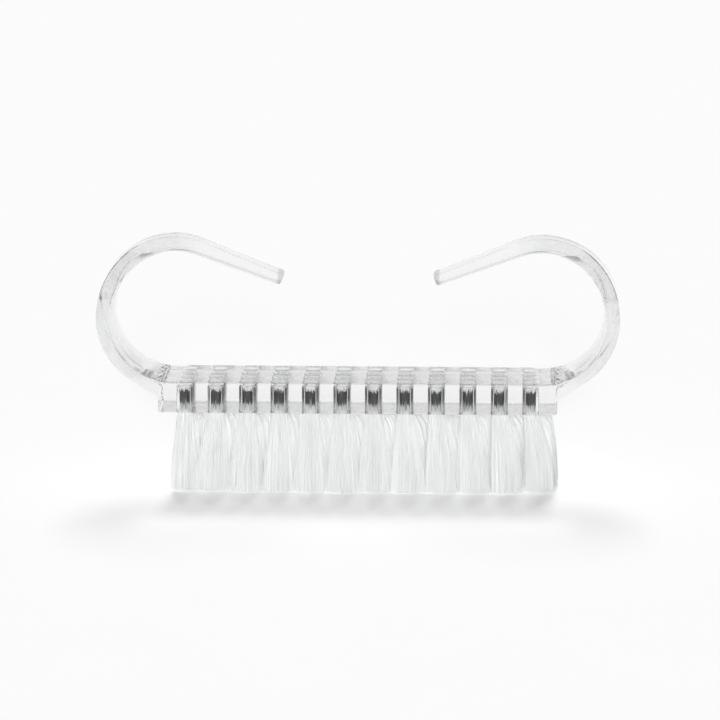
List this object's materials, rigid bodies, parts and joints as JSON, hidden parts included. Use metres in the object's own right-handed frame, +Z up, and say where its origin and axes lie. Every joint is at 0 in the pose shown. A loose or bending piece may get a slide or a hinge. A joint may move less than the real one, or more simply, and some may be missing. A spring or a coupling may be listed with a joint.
{
  "type": "nail brush",
  "caption": "Clear manicure dust brush: a bar with rows of nylon tufts, each on a metal anchor, and two arms curled over it as finger hooks.",
  "frame": {"origin": "middle of the brush on the plane of the bristle tips, which is the surface it stands on", "axes": "+X along the brush to its right end, -Y its front, +Z up from the bristle tips to the hooks"},
  "size_m": [0.1022, 0.0172, 0.05],
  "materials": {
    "clear_plastic": "clear, polished",
    "bristle_nylon": "near-clear filament",
    "anchor_metal": "dull wire"
  },
  "bodies": {
    "root": {"body": "clear_plastic", "tuft_r1_c1": "bristle_nylon", "tuft_r1_c2": "bristle_nylon", "tuft_r1_c3": "bristle_nylon", "tuft_r1_c4": "bristle_nylon", "tuft_r1_c5": "bristle_nylon", "tuft_r1_c6": "bristle_nylon", "tuft_r1_c7": "bristle_nylon", "tuft_r1_c8": "bristle_nylon", "tuft_r1_c9": "bristle_nylon", "tuft_r1_c10": "bristle_nylon", "tuft_r1_c11": "bristle_nylon", "tuft_r1_c12": "bristle_nylon", "tuft_r2_c1": "bristle_nylon", "tuft_r2_c2": "bristle_nylon", "tuft_r2_c3": "bristle_nylon", "tuft_r2_c4": "bristle_nylon", "tuft_r2_c5": "bristle_nylon", "tuft_r2_c6": "bristle_nylon", "tuft_r2_c7": "bristle_nylon", "tuft_r2_c8": "bristle_nylon", "tuft_r2_c9": "bristle_nylon", "tuft_r2_c10": "bristle_nylon", "tuft_r2_c11": "bristle_nylon", "tuft_r2_c12": "bristle_nylon", "tuft_r3_c1": "bristle_nylon", "tuft_r3_c2": "bristle_nylon", "tuft_r3_c3": "bristle_nylon", "tuft_r3_c4": "bristle_nylon", "tuft_r3_c5": "bristle_nylon", "tuft_r3_c6": "bristle_nylon", "tuft_r3_c7": "bristle_nylon", "tuft_r3_c8": "bristle_nylon", "tuft_r3_c9": "bristle_nylon", "tuft_r3_c10": "bristle_nylon", "tuft_r3_c11": "bristle_nylon", "tuft_r3_c12": "bristle_nylon", "tuft_r4_c1": "bristle_nylon", "tuft_r4_c2": "bristle_nylon", "tuft_r4_c3": "bristle_nylon", "tuft_r4_c4": "bristle_nylon", "tuft_r4_c5": "bristle_nylon", "tuft_r4_c6": "bristle_nylon", "tuft_r4_c7": "bristle_nylon", "tuft_r4_c8": "bristle_nylon", "tuft_r4_c9": "bristle_nylon", "tuft_r4_c10": "bristle_nylon", "tuft_r4_c11": "bristle_nylon", "tuft_r4_c12": "bristle_nylon", "anchors_row1": "anchor_metal", "anchors_row2": "anchor_metal", "anchors_row3": "anchor_metal", "anchors_row4": "anchor_metal"}
  },
  "joints": []
}
